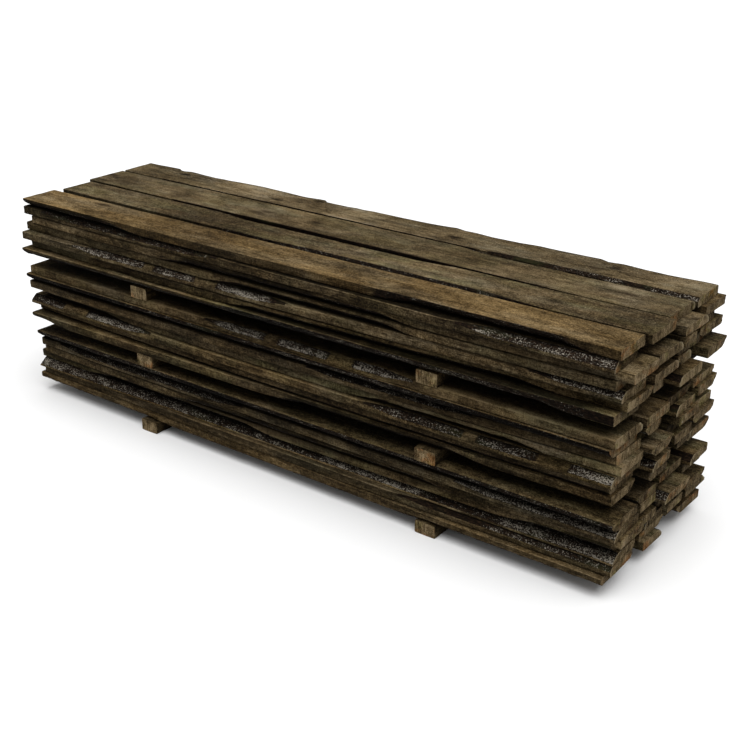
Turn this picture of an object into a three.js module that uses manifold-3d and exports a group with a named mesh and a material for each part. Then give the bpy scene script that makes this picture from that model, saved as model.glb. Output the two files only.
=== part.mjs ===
// Stack of rough-sawn, waney-edged boards: three tiers of seven layers, four boards to a layer,
// each tier laid on two cross bearers. Millimetres, +Z up, X along the boards, Y across the stack.
// The origin is on the ground under the middle of the stack.
//
// The four boards of a layer are one solid: thin webs inside the gaps join them, set back from the
// ends and from both faces, so that the gaps are deep grooves in the layer's faces and ends.

import * as THREE from 'three';
import { mergeVertices } from 'three/addons/utils/BufferGeometryUtils.js';
import Module from 'manifold-3d';

const wasm = await Module();
wasm.setup();

// Boards
const BOARD_LENGTH = 3000;
const BOARD_WIDTH = 180;
const BOARD_THICKNESS = 38;
const BOARD_GAP = 32;             // nominal gap between two neighbours in a layer
const BOW_STEPS = 6;

// Waney edges
const WANE_LEAN = 1.2;            // how far a bark edge leans in for each mm of its height
const WANE_TAPER = 0.06;          // length over which a bark edge runs out, as a share of a board

// Bearers
const BEARER_WIDTH = 96;
const BEARER_HEIGHT = 55;
const BEARER_SPARE = 46;          // how much longer a bearer is than a layer is wide
const BEARER_CHAMFER = 4;
const LEFT_BEARER_INSET = 739;    // middle of the left bearers from the boards' nominal left end
const RIGHT_BEARER_INSET = 750;   // middle of the right bearers from the nominal right end

// Webs inside the gaps
const WEB_THICKNESS = 12;
const WEB_SETBACK = 70;           // from the shorter board's end
const WEB_BITE = 50;              // how far a web runs into the board on each side

const COLUMNS = 4;
const COLUMN_PITCH = BOARD_WIDTH + BOARD_GAP;
const BEARER_LENGTH = COLUMNS * COLUMN_PITCH - BOARD_GAP + BEARER_SPARE;

// Wane along one edge of a board. height is the bark's share of the thickness: positive with the
// bark on the upper part of the edge, negative with it on the lower part, as an undercut.
// Each stretch is [from, to] along the board, from 0 at its left end to 1 at its right end.
// The result is a list of [place, height].
function wane(height, ...stretches) {
  const profile = [[0, stretches[0][0] > 0 ? 0 : height]];
  for (const [from, to] of stretches) {
    if (from > 0) profile.push([from - WANE_TAPER, 0], [from, height]);
    profile.push([to, height]);
    if (to < 1) profile.push([to + WANE_TAPER, 0]);
  }
  if (profile.at(-1)[0] < 1) profile.push([1, 0]);
  return profile;
}

const SQUARE = [[0, 0], [1, 0]];
const UNDER = wane(-0.78, [0, 1]);
const BARK = wane(0.66, [0, 1]);

// One row a board, from the near one to the far one: [left end, right end, near edge at the left
// end, near edge at the right end, width at the left end, width at the right end, bow, wane of the
// near edge, wane of the far edge]. Ends, edges and widths are in mm, over those of the nominal
// board of that column. The bow is how far the middle of the board lies off its straight line.
const TOP_TIER = [
  [
    [0, 0, 0, 18, 2, 0, 0, wane(-0.8, [0, 0.19], [0.72, 0.92]), SQUARE],
    [21, 21, 5, -4, -11, 3, 0, wane(0.32, [0.5, 0.78]), wane(0.5, [0.34, 0.64])],
    [-12, -7, -17, -25, 29, 38, 0, SQUARE, wane(0.55, [0.72, 1])],
    [-9, -2, -7, -12, -11, -3, 0, wane(0.35, [0.74, 1]), SQUARE],
  ],
  [
    [-7, -6, 5, -12, -2, -8, -2, wane(0.66, [0.09, 0.36], [0.84, 1]), SQUARE],
    [10, -30, 2, 13, -4, -5, 0, UNDER, SQUARE],
    [-20, 46, -4, 9, 4, 7, 0, SQUARE, wane(0.6, [0.4, 1])],
    [15, 20, 4, 24, 6, -10, 8, SQUARE, wane(0.5, [0.6, 0.8])],
  ],
  [
    [40, 50, 5, 32, 0, 5, -21, wane(-0.74, [0.33, 0.66]), SQUARE],
    [-15, 46, 6, 16, 16, 9, 0, SQUARE, wane(0.6, [0.9, 1])],
    [25, 50, 10, 4, -70, -92, 0, SQUARE, SQUARE],
    [5, 12, 10, -24, -16, -37, 10, SQUARE, wane(-0.6, [0, 0.3])],
  ],
  [
    [-9, -8, 12, 22, -2, -2, -12, wane(-0.76, [0.44, 0.68]), SQUARE],
    [20, -12, 6, 8, 0, 5, 0, BARK, SQUARE],
    [-10, 26, 4, 6, -4, -7, 0, SQUARE, SQUARE],
    [-20, 20, 12, -7, 8, 11, 6, wane(-0.45, [0, 1]), wane(-0.6, [0, 0.2])],
  ],
  [
    [-5, 15, -22, 24, 0, -4, -8, wane(0.62, [0.16, 0.48], [0.93, 1]), SQUARE],
    [30, 34, 2, 15, 20, 18, 0, SQUARE, wane(0.5, [0.94, 1])],
    [5, 30, 14, -2, -30, -69, 0, wane(-0.66, [0, 1]), wane(0.42, [0.94, 1])],
    [-12, -10, 8, 6, -10, -10, 12, SQUARE, wane(0.6, [0.35, 0.7])],
  ],
  [
    [15, 28, 10, 54, 6, 7, -39, wane(-0.7, [0.46, 0.86]), UNDER],
    [-18, 25, 8, 32, -60, -100, 0, SQUARE, SQUARE],
    [12, -12, 0, 8, -4, -10, 0, BARK, SQUARE],
    [25, 50, 2, 5, -4, -1, -6, SQUARE, UNDER],
  ],
  [
    [-7, 6, -32, -4, 2, 2, -5, wane(-0.78, [0, 0.9]), SQUARE],
    [-25, -32, -4, -4, -4, -4, 0, SQUARE, UNDER],
    [8, 44, -2, -2, 12, 17, 0, wane(0.62, [0, 1]), SQUARE],
    [-5, -25, 6, 8, -10, -14, 9, UNDER, wane(0.7, [0, 0.4], [0.76, 1])],
  ],
];
const MIDDLE_TIER = [
  [
    [-1, 10, -3, 14, 0, 24, -8, wane(0.64, [0.42, 0.68]), wane(0.5, [0, 1])],
    [12, 20, 12, 22, -4, -1, 0, SQUARE, SQUARE],
    [-22, 8, -2, -2, 10, 20, 0, SQUARE, UNDER],
    [10, 9, 4, 8, 0, 5, 7, SQUARE, wane(-0.55, [0.7, 1])],
  ],
  [
    [-16, -2, -19, 0, 20, 25, 1, wane(-0.75, [0, 1]), SQUARE],
    [-6, 20, 45, 14, -45, -58, 0, UNDER, wane(-0.45, [0.5, 1])],
    [18, 33, 20, 25, -10, -14, 0, BARK, SQUARE],
    [-15, 21, 20, 34, -6, -8, -8, SQUARE, wane(-0.95, [0.6, 1])],
  ],
  [
    [-14, 3, -3, 54, 0, -4, -24, wane(0.48, [0.6, 0.77]), SQUARE],
    [22, -20, 12, 26, -10, -14, 0, SQUARE, BARK],
    [0, 46, 20, 35, -8, -12, 0, SQUARE, SQUARE],
    [-25, -22, 8, 14, -16, -30, 10, BARK, SQUARE],
  ],
  [
    [26, 22, 25, 54, -8, -8, -24, wane(-0.74, [0, 0.15], [0.67, 0.86]), SQUARE],
    [-30, 48, 10, 24, -6, -10, 0, wane(-0.66, [0, 1]), wane(-0.9, [0.5, 1])],
    [15, 12, 2, 4, -4, -6, 0, SQUARE, UNDER],
    [20, 4, 6, 14, 10, 12, 6, SQUARE, wane(0.6, [0.1, 0.5])],
  ],
  [
    [-22, 6, -3, 14, 30, 47, -5, wane(0.66, [0, 0.22], [0.7, 1]), SQUARE],
    [15, -15, 40, 44, -20, -20, 0, wane(-0.4, [0, 1]), SQUARE],
    [-8, 36, 28, 32, -20, -34, 0, SQUARE, SQUARE],
    [8, 20, 30, 16, -8, 13, 12, wane(-0.5, [0, 1]), wane(-0.5, [0.6, 1])],
  ],
  [
    [10, -10, 22, 40, 0, 5, -21, wane(-0.4, [0, 1]), SQUARE],
    [-12, 38, 50, 64, -26, -32, 0, BARK, SQUARE],
    [28, 28, 60, 76, -40, -49, 0, SQUARE, BARK],
    [-18, -25, 8, 12, -12, -12, 9, SQUARE, wane(0.6, [0, 0.25])],
  ],
  [
    [-6, 3, -20, 37, -2, -2, -5, wane(-0.7, [0, 0.02], [0.54, 0.78]), UNDER],
    [32, 30, 46, 58, -28, -32, 0, wane(-0.4, [0, 1]), SQUARE],
    [-14, -22, 6, 10, -4, -4, 0, SQUARE, SQUARE],
    [6, 5, 14, 22, 10, 12, -10, BARK, wane(-0.7, [0.15, 0.4], [0.85, 1])],
  ],
];
const BOTTOM_TIER = [
  [
    [4, 27, -14, 9, 10, 16, -1, wane(-0.72, [0, 1]), SQUARE],
    [-20, 10, 22, 24, -24, -29, 0, UNDER, SQUARE],
    [10, -2, 20, 24, 2, 4, 0, SQUARE, SQUARE],
    [22, 29, 6, 8, 0, -12, 6, BARK, wane(0.6, [0.4, 0.7])],
  ],
  [
    [17, 32, 2, 23, 10, 9, -2, wane(0.7, [0.09, 0.38], [0.83, 1]), SQUARE],
    [5, 12, 40, 53, -40, -54, 0, SQUARE, SQUARE],
    [-28, -25, 4, 6, -6, -6, 0, BARK, SQUARE],
    [-10, 5, 4, 5, 12, 11, 10, SQUARE, UNDER],
  ],
  [
    [31, 44, 8, 62, -2, -2, -24, wane(-0.74, [0.33, 0.72]), SQUARE],
    [-10, -10, 40, 44, -20, -20, 0, UNDER, SQUARE],
    [16, 33, 16, 16, 14, 26, 0, wane(0.7, [0, 1]), wane(-0.8, [0.5, 1])],
    [12, -22, 14, 22, -20, -22, 7, SQUARE, wane(0.5, [0.6, 0.8])],
  ],
  [
    [-17, 4, 26, 69, -14, -4, -14, wane(-0.74, [0.16, 0.43], [0.9, 1]), SQUARE],
    [18, 6, 36, 44, -10, -16, 0, SQUARE, SQUARE],
    [-6, -10, 14, 18, -8, -12, 0, UNDER, SQUARE],
    [-24, 23, 2, 14, 2, -10, 8, SQUARE, wane(-0.7, [0.5, 1])],
  ],
  [
    [-9, 19, -8, 57, 8, -12, 8, wane(0.9, [0, 1]), SQUARE],
    [-26, -1, 110, 138, -20, -25, 0, BARK, SQUARE],
    [20, 14, 80, 90, -44, -48, 0, SQUARE, SQUARE],
    [14, 18, 22, 31, -2, 4, -5, SQUARE, wane(0.66, [0, 0.2], [0.7, 1])],
  ],
  [
    [0, 20, 15, 41, -4, -1, -15, wane(0.44, [0.74, 1]), wane(-0.4, [0, 1])],
    [12, -3, 100, 105, 0, 13, 0, SQUARE, UNDER],
    [-15, -10, 88, 96, -50, -82, 0, UNDER, SQUARE],
    [-8, -22, 16, 20, -14, -14, 7, SQUARE, wane(-0.7, [0.4, 0.7])],
  ],
  [
    [-20, -3, 5, 13, -16, 7, 0, wane(-0.45, [0, 0.24], [0.75, 1]), SQUARE],
    [-16, 13, 108, 113, -26, -26, 0, SQUARE, BARK],
    [25, -50, 70, 70, -44, -44, 0, SQUARE, SQUARE],
    [10, 3, 2, 3, 18, 19, 9, UNDER, wane(0.6, [0, 0.25])],
  ],
];

// Bearers of one level: how far the near ends of the left and of the right one lie from the
// boards' nominal near edge.
const TIERS = [
  { name: 'bottom', layers: BOTTOM_TIER, bearer: 'ground', nearEnds: [-11, 8] },
  { name: 'middle', layers: MIDDLE_TIER, bearer: 'lower', nearEnds: [-4, -2] },
  { name: 'top', layers: TOP_TIER, bearer: 'upper', nearEnds: [-11, 0] },
];

const BOARD_WOOD = { color: 0x7a6248, roughness: 0.88, metalness: 0 };
const BEARER_WOOD = { color: 0xb39468, roughness: 0.85, metalness: 0 };

function waneHeight(profile, place) {
  const after = profile.findIndex(([at]) => at >= place);
  if (after <= 0) return profile[0][1];
  const [fromAt, fromHeight] = profile[after - 1];
  const [toAt, toHeight] = profile[after];
  return fromHeight + (toHeight - fromHeight) * (place - fromAt) / (toAt - fromAt);
}

// An edge of a board has three corners, one above the other: on the lower face, where the bark
// meets the sawn part, and on the upper face. Gives a corner's height and how far it lies back.
function edgeCorner(height, level) {
  const barkHeight = Math.abs(height) * BOARD_THICKNESS;
  const isBack = level === (height > 0 ? 2 : 0);
  const meeting = height > 0 ? BOARD_THICKNESS - barkHeight : barkHeight;
  const meetingOrMiddle = height === 0 ? BOARD_THICKNESS / 2 : meeting;
  const z = [0, meetingOrMiddle, BOARD_THICKNESS][level];
  return { z, back: isBack ? WANE_LEAN * barkHeight : 0 };
}

// Places along a board where one of its edges changes.
function stations(bow, ...profiles) {
  const places = profiles.flatMap((profile) => profile.map(([at]) => at));
  const bowPlaces = bow === 0 ? [] : Array.from({ length: BOW_STEPS }, (_, i) => i / BOW_STEPS);
  return [...new Set([...places, ...bowPlaces])].sort((a, b) => a - b);
}

// A board is a box with one step along X for each station, whose edges are then moved in where
// they are waney, and sideways by the board's skew and bow.
function boardGeometry(row, column) {
  const [left, right, nearLeft, nearRight, widerLeft, widerRight, bow, nearWane, farWane] = row;
  const length = BOARD_LENGTH + right - left;
  const places = stations(bow, nearWane, farWane);
  const steps = places.length - 1;
  const geometry = new THREE.BoxGeometry(steps, 1, 2, steps, 1, 2);
  geometry.translate(steps / 2, 0, 1);
  const position = geometry.attributes.position;
  for (let i = 0; i < position.count; i += 1) {
    const place = places[Math.round(position.getX(i))];
    const isFar = position.getY(i) > 0;
    const level = Math.round(position.getZ(i));
    const { z, back } = edgeCorner(waneHeight(isFar ? farWane : nearWane, place), level);
    const curve = bow * 4 * place * (1 - place);
    const near = column * COLUMN_PITCH + nearLeft + (nearRight - nearLeft) * place + curve;
    const width = BOARD_WIDTH + widerLeft + (widerRight - widerLeft) * place;
    position.setXYZ(i, left + length * place, isFar ? near + width - back : near + back, z);
  }
  return geometry;
}

function solidFrom(geometry) {
  const bare = geometry.clone();
  bare.deleteAttribute('normal');
  bare.deleteAttribute('uv');
  const merged = mergeVertices(bare, 1e-3);
  return new wasm.Manifold(new wasm.Mesh({
    numProp: 3,
    vertProperties: new Float32Array(merged.attributes.position.array),
    triVerts: new Uint32Array(merged.index.array),
  }));
}

function geometryFrom(solid) {
  const { vertProperties, triVerts } = solid.getMesh();
  const geometry = new THREE.BufferGeometry();
  geometry.setAttribute('position', new THREE.BufferAttribute(vertProperties, 3));
  geometry.setIndex(new THREE.BufferAttribute(triVerts, 1));
  return geometry;
}

// The web in the gap between a board and the next one in its layer.
function webGeometry(row, next, column) {
  const [left, right, nearLeft, nearRight, widerLeft, widerRight] = row;
  const [nextLeft, nextRight, nextNearLeft, nextNearRight] = next;
  const start = Math.max(left, nextLeft) + WEB_SETBACK;
  const end = BOARD_LENGTH + Math.min(right, nextRight) - WEB_SETBACK;
  const farEdge = Math.min(nearLeft + widerLeft, nearRight + widerRight) + BOARD_WIDTH;
  const nextEdge = Math.max(nextNearLeft, nextNearRight) + COLUMN_PITCH;
  const near = farEdge - WEB_BITE;
  const far = nextEdge + WEB_BITE;
  const web = new THREE.BoxGeometry(end - start, far - near, WEB_THICKNESS);
  web.translate((start + end) / 2, column * COLUMN_PITCH + (near + far) / 2, BOARD_THICKNESS / 2);
  return web;
}

function layerGeometry(rows) {
  const boards = rows.map((row, column) => solidFrom(boardGeometry(row, column)));
  const webs = rows.slice(1).map((next, column) => solidFrom(webGeometry(rows[column], next, column)));
  return geometryFrom([...boards, ...webs].reduce((joined, solid) => joined.add(solid)));
}

// A sawn bearer with its long corners broken, from its near end at the origin back along +Y.
function bearerGeometry() {
  const side = BEARER_WIDTH / 2;
  const inner = side - BEARER_CHAMFER;
  const top = BEARER_HEIGHT - BEARER_CHAMFER;
  const shape = new THREE.Shape();
  shape.moveTo(-inner, 0);
  shape.lineTo(inner, 0);
  shape.lineTo(side, BEARER_CHAMFER);
  shape.lineTo(side, top);
  shape.lineTo(inner, BEARER_HEIGHT);
  shape.lineTo(-inner, BEARER_HEIGHT);
  shape.lineTo(-side, top);
  shape.lineTo(-side, BEARER_CHAMFER);
  const geometry = new THREE.ExtrudeGeometry(shape, { depth: BEARER_LENGTH, bevelEnabled: false });
  geometry.rotateX(Math.PI / 2);
  geometry.translate(0, BEARER_LENGTH, 0);
  return geometry;
}

const stack = new THREE.Group();

function addPiece(name, geometry, wood, x, y, z) {
  const piece = new THREE.Mesh(geometry, new THREE.MeshStandardMaterial(wood));
  piece.name = name;
  piece.position.set(x, y, z);
  stack.add(piece);
}

let underside = 0;
for (const { name, layers, bearer, nearEnds } of TIERS) {
  const [leftEnd, rightEnd] = nearEnds;
  const rightBearer = BOARD_LENGTH - RIGHT_BEARER_INSET;
  addPiece(`${bearer}_bearer_left`, bearerGeometry(), BEARER_WOOD, LEFT_BEARER_INSET, leftEnd, underside);
  addPiece(`${bearer}_bearer_right`, bearerGeometry(), BEARER_WOOD, rightBearer, rightEnd, underside);
  underside += BEARER_HEIGHT;
  for (let fromTop = layers.length; fromTop >= 1; fromTop -= 1) {
    const geometry = layerGeometry(layers[fromTop - 1]);
    addPiece(`${name}_tier_layer_${fromTop}`, geometry, BOARD_WOOD, 0, 0, underside);
    underside += BOARD_THICKNESS;
  }
}

// The middle of the stack's outline goes over the origin.
const middle = new THREE.Box3().setFromObject(stack).getCenter(new THREE.Vector3());
stack.position.set(-middle.x, -middle.y, 0);

const group = new THREE.Group();
group.add(stack);

export default group;
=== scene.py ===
"""Looks for the stack of waney-edged boards.

Every layer of the frame is read back by rays, and each of its boards is made again with
rough-sawn faces, chipped corners, lumpy bark on its waney edges and cut ends. So are the
bearers, as rough-sawn timbers. Lengths are metres, in the frame's own place.
"""

import itertools
import math

import bpy
import numpy as np
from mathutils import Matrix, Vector
from mathutils.bvhtree import BVHTree


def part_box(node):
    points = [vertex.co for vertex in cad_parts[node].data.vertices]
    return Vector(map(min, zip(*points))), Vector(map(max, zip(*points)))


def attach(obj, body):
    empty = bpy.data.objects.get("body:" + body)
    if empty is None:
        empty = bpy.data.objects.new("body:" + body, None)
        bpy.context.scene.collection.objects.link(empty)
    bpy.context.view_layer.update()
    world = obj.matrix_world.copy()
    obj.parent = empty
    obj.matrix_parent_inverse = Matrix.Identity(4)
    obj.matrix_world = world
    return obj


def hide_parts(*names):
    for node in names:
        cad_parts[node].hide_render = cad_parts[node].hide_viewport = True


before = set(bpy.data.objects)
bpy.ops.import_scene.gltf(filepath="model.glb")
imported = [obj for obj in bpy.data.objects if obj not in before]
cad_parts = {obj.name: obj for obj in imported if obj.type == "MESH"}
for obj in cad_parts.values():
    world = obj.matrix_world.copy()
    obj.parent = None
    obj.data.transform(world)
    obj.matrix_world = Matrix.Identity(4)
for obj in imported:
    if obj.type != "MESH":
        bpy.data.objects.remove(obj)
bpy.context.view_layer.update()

MM = 0.001

# The stack
BOARDS_LEFT, BOARDS_NEAR = -1.51, -0.419  # nominal left end and near side of the layers
BOARDS_IN_LAYER = 4
LAYERS_IN_TIER = 7
TIERS = ("top", "middle", "bottom")
ENDS = ((0, -1), (-1, 1))  # the first and last section of a piece, and the way its end faces

# Reading the layers
LEVEL_INSET = 0.5 * MM  # from a layer's lower or upper face to the level that is read
END_LEVEL = 5 * MM  # height in a layer where the boards' ends are read
READ_FROM, READ_TO, READ_STEPS = -1.46, 1.43, 117
RAY_STEP = 0.01 * MM  # how far behind a crossing the next one is looked for

# Sections
BARK_LEAN = 1.2  # how far a bark edge leans in for each metre of its height
BARK_HIGHEST = 0.95  # the most of the thickness that it takes up
BARK_FROM = (2 * MM, 8 * MM)  # heights of an edge that has no bark, and that is all bark
MEETING_BLEND = 9 * MM  # height from which the sawn part starts right at the leaning part
BARK_BULGE = 2.0 * MM
SEAM = 0.5 * MM  # by how much a board is thinner than its layer, above and below,
SEAM_KEPT = 0.2 * SEAM  # and the least of it that the rough skin leaves
SHELTER_LIP = 5 * MM  # the smaller, the faster the painted shade grows in under an overhang

# How far the rough surfaces go in and out
SKIN_WAVE = 0.4 * MM
SKIN_SWELL = 1.2 * SKIN_WAVE
EDGE_WAVE, EDGE_RIPPLE = 1.4 * MM, 0.5  # and the shorter wave's share
BARK_RIDGE, RIDGE_LEVEL = 3.2 * MM, 0.7  # and the height in its noise that moves nothing
BARK_LUMP = 1.6 * MM
BARK_BULK = 1.3 * BARK_LUMP
WAVE_APART, SKIN_APART = 10, 3.1  # between the places where two boards read their noise

# How far the corners are cut back
TOP_CORNER = 1.2 * MM  # the upper ones of the top boards
UPPER_CORNER = 2.2 * MM  # the upper ones of all others
LOWER_CORNER = 3.4 * MM
CORNER_CHIP = 2.6 * MM
TOP_WEAR = 0.5  # the top boards' share of the chips
CHIP_FROM, CHIP_POWER = 0.25, 1.5  # noise above which there is a chip, and how it grows
NICK_SHARE = 0.35
CORNER_ROOM = 0.8  # the most that is cut, as a share of the way to the next point
NEVER_ZERO = 1e-6
SEAM_SHADE = 0.75  # how dark the painted shade in the seams between the layers is, from 0 to 1,
SEAM_SHARE = 0.53  # and the share of it at the edges' next points beside the seams
SEAM_REACH = 10 * MM  # no seam where the next layer up is further away than this,
OPEN_RIM = (3 * MM, 12 * MM)  # or where a rim stands out from under it by so much
RIM_HIGHLIGHT, RIM_FADE = 0.5, 0.3  # painted highlight: added brightness of an open near rim, and next to it
FAR_RIM = (0.4 * MM, 0.1, 0.8)  # the far top board's far rim: cut, share of chips, how dark,
FAR_RIM_FADE = 0.25  # and how dark it is next to it

# Ends
END_ZONE = 0.12  # length at each end that has the finer spacing
END_SKEW, END_LEAN = 0.022, 0.05  # the most run-out for each metre of width and of height
END_ROUGH, END_WIDE = 0.9 * MM, 0.7  # and the wider lumps' share
END_FRAY = 2.4 * MM  # how far the rim of an end is worn back, at most
SAP_FADE = (3 * MM, 17 * MM)  # where the pale wood next to the bark fades out on an end

# Kinds of noise on a board: what is added to its seed, and the size of the lumps along X, Y, Z
NOISES = {
    "wave": (0, (0.33, 1, 1)), "ripple": (0, (0.09, 1, 1)),
    "skin": (3, (0.05, 0.012, 0.03)), "swell": (4, (0.3, 0.05, 0.3)),
    "ridge": (5, (0.07, 0.011, 0.011)), "lump": (6, (0.018, 0.011, 0.009)),
    "bulk": (7, (0.15, 0.03, 0.02)), "lichen": (8, (0.25, 1, 1)),
    "chip": (20, (0.045, 1, 1)), "nick": (40, (0.011, 1, 1)),
    "end": (60, (1, 0.004, 0.009)), "wide end": (62, (1, 0.03, 0.02)),
    "fray": (70, (1, 0.014, 0.007)),
}

# Bearers
BEARER_STEPS, BEARER_SIDE_POINTS = 44, 7
BEARER_INSET = 0.3 * MM  # how far a timber lies inside its node
BEARER_SKIN, SKIN_UPRIGHT = 0.7 * MM, 0.5  # and the share of it above and below
BEARER_CORNER = 1.2 * MM
BEARER_CHIP, BEARER_CHIP_FROM = 2.5 * MM, 0.3
BEARER_SKEW, BEARER_LEAN = 0.05, 0.02
DENT_SIZE, CHIP_SIZE, CUT_SIZE = (0.02, 0.06, 0.02), (1, 0.03, 1), (0.01, 1, 0.008)
BEARER_SHADE = 0.5  # how dark the painted shade on a bearer in under the layers is, from 0 to 1,
BEARER_SHADED = (0.44, 0.34)  # and how far from the middle that starts, and is whole

# The wood's own pattern
HEARTS = (0.05, (0.02, 0.1))  # how far a board is from its log's heart: aside, and up or down
BEARER_HEARTS = (0.03, (0.02, 0.05))
PATTERN_LENGTH = 40  # each piece starts somewhere along so much of the pattern
# The range that tones are drawn from: brightness, warmth and green, from 0 to 1
TONES = ((0.2, 0.1, 0.0), (0.75, 0.75, 0.6))
BEARER_TONES = ((0.4, 0.4, 0.0), (0.6, 0.7, 0.15))
SMOOTH_BELOW = math.radians(38)

# ---- lists, set by comparing the render with the photo

# The tiers' layers count from the top. Rows of (from, to, ...) are in centimetres from the
# boards' left end and in percent. The other numbers are in metres and in shares, from 0 to 1.

# Lichen on the near boards' near waney edges: (from, to, density)
NO_BARK = -100  # instead of a density, where the bark is lost
LICHEN = {
    ("top", 2): [(10, 35, 20), (35, 115, 22), (245, 305, 60)],
    ("top", 3): [(100, 200, 10)],
    ("top", 4): [(130, 205, 12)],
    ("top", 5): [
        (33, 78, 72), (78, 84, NO_BARK), (84, 108, 65), (108, 120, NO_BARK), (120, 150, 100),
        (275, 305, 85),
    ],
    ("top", 6): [(130, 310, 12)],
    ("top", 7): [(0, 220, 50), (220, 260, 40), (260, 290, 20)],
    ("middle", 1): [
        (118, 145, 100), (145, 152, NO_BARK), (152, 178, 100), (178, 190, NO_BARK),
        (190, 220, 100),
    ],
    ("middle", 2): [(0, 150, 25), (150, 235, 50), (235, 310, 25)],
    ("middle", 3): [(160, 240, 50)],
    ("middle", 4): [(0, 45, 10), (205, 310, NO_BARK)],
    ("middle", 5): [
        (0, 20, 40), (20, 36, NO_BARK), (36, 75, 95), (200, 240, 55), (240, 246, NO_BARK),
        (246, 271, 50), (271, 284, NO_BARK), (284, 305, 100),
    ],
    ("middle", 7): [(150, 250, 20)],
    ("bottom", 1): [(0, 310, 38)],
    ("bottom", 2): [(20, 125, 55), (230, 310, 90)],
    ("bottom", 3): [(90, 230, 20)],
    ("bottom", 4): [(40, 150, 35), (265, 310, 35)],
    ("bottom", 5): [
        (0, 10, 90), (10, 110, 60), (110, 170, 50), (170, 220, 90), (220, 255, 30), (255, 310, 85),
    ],
    ("bottom", 6): [(250, 310, 45)],
    ("bottom", 7): [(0, 75, 20)],
}
# The same for the four top boards, from the near one
TOP_LICHEN = [
    [(0, 65, 12), (205, 290, 16)],
    [(100, 240, 30)],
    [],
    [(48, 72, 60), (240, 270, 35), (280, 300, 60)],
]
COMMON_LICHEN = 0.88  # density on the other waney edges, where its noise is 1
LICHEN_FADE = 0.02  # half the length over which a run of lichen begins or ends
LICHEN_AT_RIM, LICHEN_LOSS = 1.12, 0.55  # share at an edge's rim, and less of it at the face

# Boards whose near edge has bark on its upright part too, with painted shade on it, by tier,
# layer and place from the near side: (from, to)
UPRIGHT_BARK = {
    ("top", 7, 0): [(120, 310)],
    ("top", 1, 0): [(195, 285)],
    ("top", 1, 1): [(100, 260)],
    ("top", 1, 2): [(50, 260)],
    ("top", 1, 3): [(20, 210)],
    ("middle", 2, 0): [(-10, 320)],
    ("bottom", 1, 0): [(-10, 320)],
}
UPRIGHT_SHADE = 0.45  # how dark the painted shade on that bark is, from 0 to 1

# Stretches of painted shade on the near boards: (from, to, how dark the lower half of the near
# edge is, and the upper half, and each of the upper face's points from that edge on)
PAINTED_SHADE_STRETCHES = {
    ("top", 1): [(-10, 60, 15, 85), (135, 170, 20, 30), (275, 320, 20, 30)],
    ("top", 2): [(-10, 60, 0, 35), (110, 250, 0, 0, 80, 90, 90, 90)],
    ("top", 3): [(95, 180, 50, 80)],
    ("top", 4): [(-10, 50, 10, 40), (130, 180, 0, 40), (250, 320, 30, 20)],
    ("top", 7): [
        (-10, 130, 75, 60), (120, 180, 85, 80), (170, 215, 85, 50),
        (130, 200, 0, 0, 30, 70, 70, 70), (190, 296, 0, 0, 75, 85, 85, 85),
    ],
    ("middle", 2): [(-10, 75, 85, 75), (70, 205, 65, 40), (200, 290, 85, 70), (250, 320, 30, 85)],
    ("middle", 5): [(-10, 50, 30, 0), (70, 110, 30, 0), (230, 290, 30, 30)],
    ("middle", 7): [(-10, 50, 55, 30), (40, 150, 50, 20), (150, 240, 85, 70), (230, 270, 50, 0)],
    ("bottom", 1): [(-10, 320, 75, 50), (90, 140, 80, 80)],
    ("bottom", 3): [(95, 180, 50, 75)],
    ("bottom", 4): [(-10, 60, 50, 70), (275, 320, 0, 70)],
    ("bottom", 6): [
        (-10, 60, 30, 30, 30), (50, 145, 35, 60, 40, 40), (140, 220, 30, 45, 40, 40),
        (210, 270, 35, 0),
    ],
    ("bottom", 7): [(260, 320, 10, 50, 30)],
}
STRETCH_FADE = 0.1  # length over which a stretch begins or ends, inside it
HALVES_BLEND = (0.35, 0.65)  # share of the thickness where the lower half turns into the upper

# Stretches of painted light on the near boards: (from, to, what is added to the board's
# brightness)
PAINTED_LIGHT_STRETCHES = {
    ("top", 3): [(-10, 50, 40), (240, 320, 40)],
    ("top", 5): [(115, 250, 30)],
    ("top", 6): [(-10, 50, 80), (210, 320, 80)],
    ("middle", 1): [(-10, 115, 60), (190, 320, 65)],
    ("middle", 3): [(-10, 25, 50), (175, 210, 40), (240, 320, 60)],
    ("middle", 4): [(-10, 40, 70), (70, 220, 45), (210, 320, 60)],
    ("middle", 6): [(10, 105, 50), (275, 320, 60)],
    ("bottom", 2): [(-10, 110, 60), (130, 260, 40), (250, 320, 30)],
    ("bottom", 3): [(255, 320, 60)],
    ("bottom", 4): [(95, 185, 75), (180, 230, 30)],
    ("bottom", 5): [(115, 250, 80)],
}
PAINTED_LIGHT_DEPTH = (30 * MM, 90 * MM)  # how far in from the near edge the painted light is whole, and is gone

# Tone of the four top boards, from the near one: brightness, warmth and green, from 0 to 1.
TOP_TONES = [(0.60, 0.85, 0.05), (0.45, 0.18, 0.40), (0.52, 0.22, 0.25), (0.60, 0.05, 0.1)]

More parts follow.
